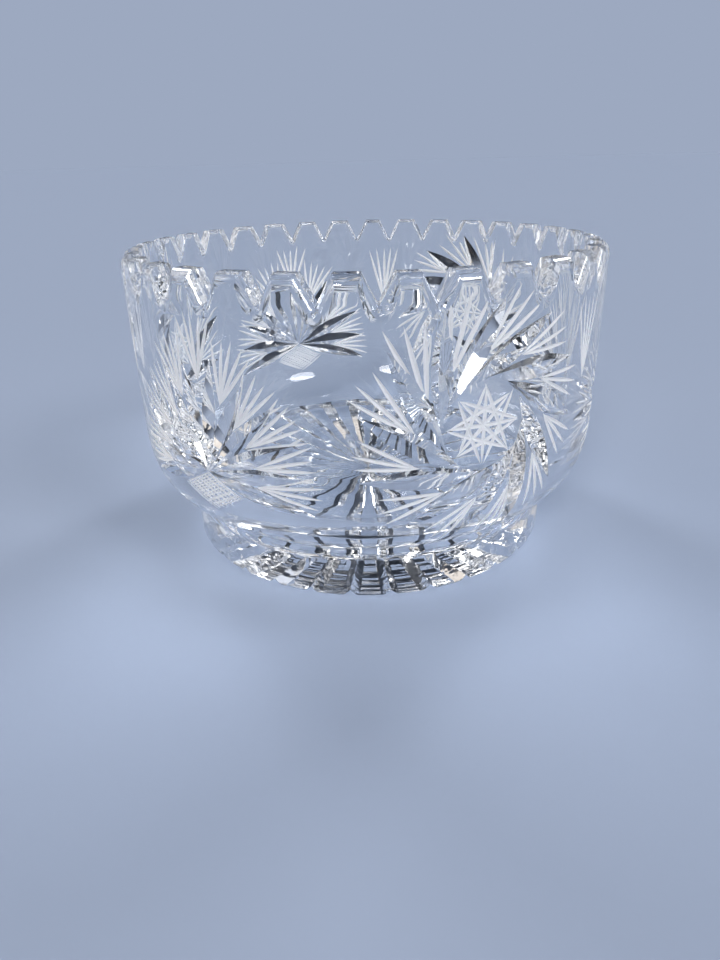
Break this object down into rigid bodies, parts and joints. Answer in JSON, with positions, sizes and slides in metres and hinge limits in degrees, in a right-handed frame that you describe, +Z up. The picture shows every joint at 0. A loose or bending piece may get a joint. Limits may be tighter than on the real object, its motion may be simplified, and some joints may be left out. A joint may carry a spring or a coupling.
{
  "type": "footed bowl",
  "caption": "Thick clear cut glass bowl with a sawtooth rim, a wall cut with pinwheels and palmettes, and a solid disc foot with a star cut underneath.",
  "frame": {"origin": "centre of the circle that the foot stands on", "axes": "+Z up along the bowl's axis, -Y towards the side that the pattern is laid out from"},
  "size_m": [0.2044, 0.2046, 0.1285],
  "materials": {
    "clear_crystal": "polished clear lead crystal with matte ground fine cuts"
  },
  "bodies": {
    "root": {"bowl_body": "clear_crystal", "foot": "clear_crystal"}
  },
  "joints": []
}
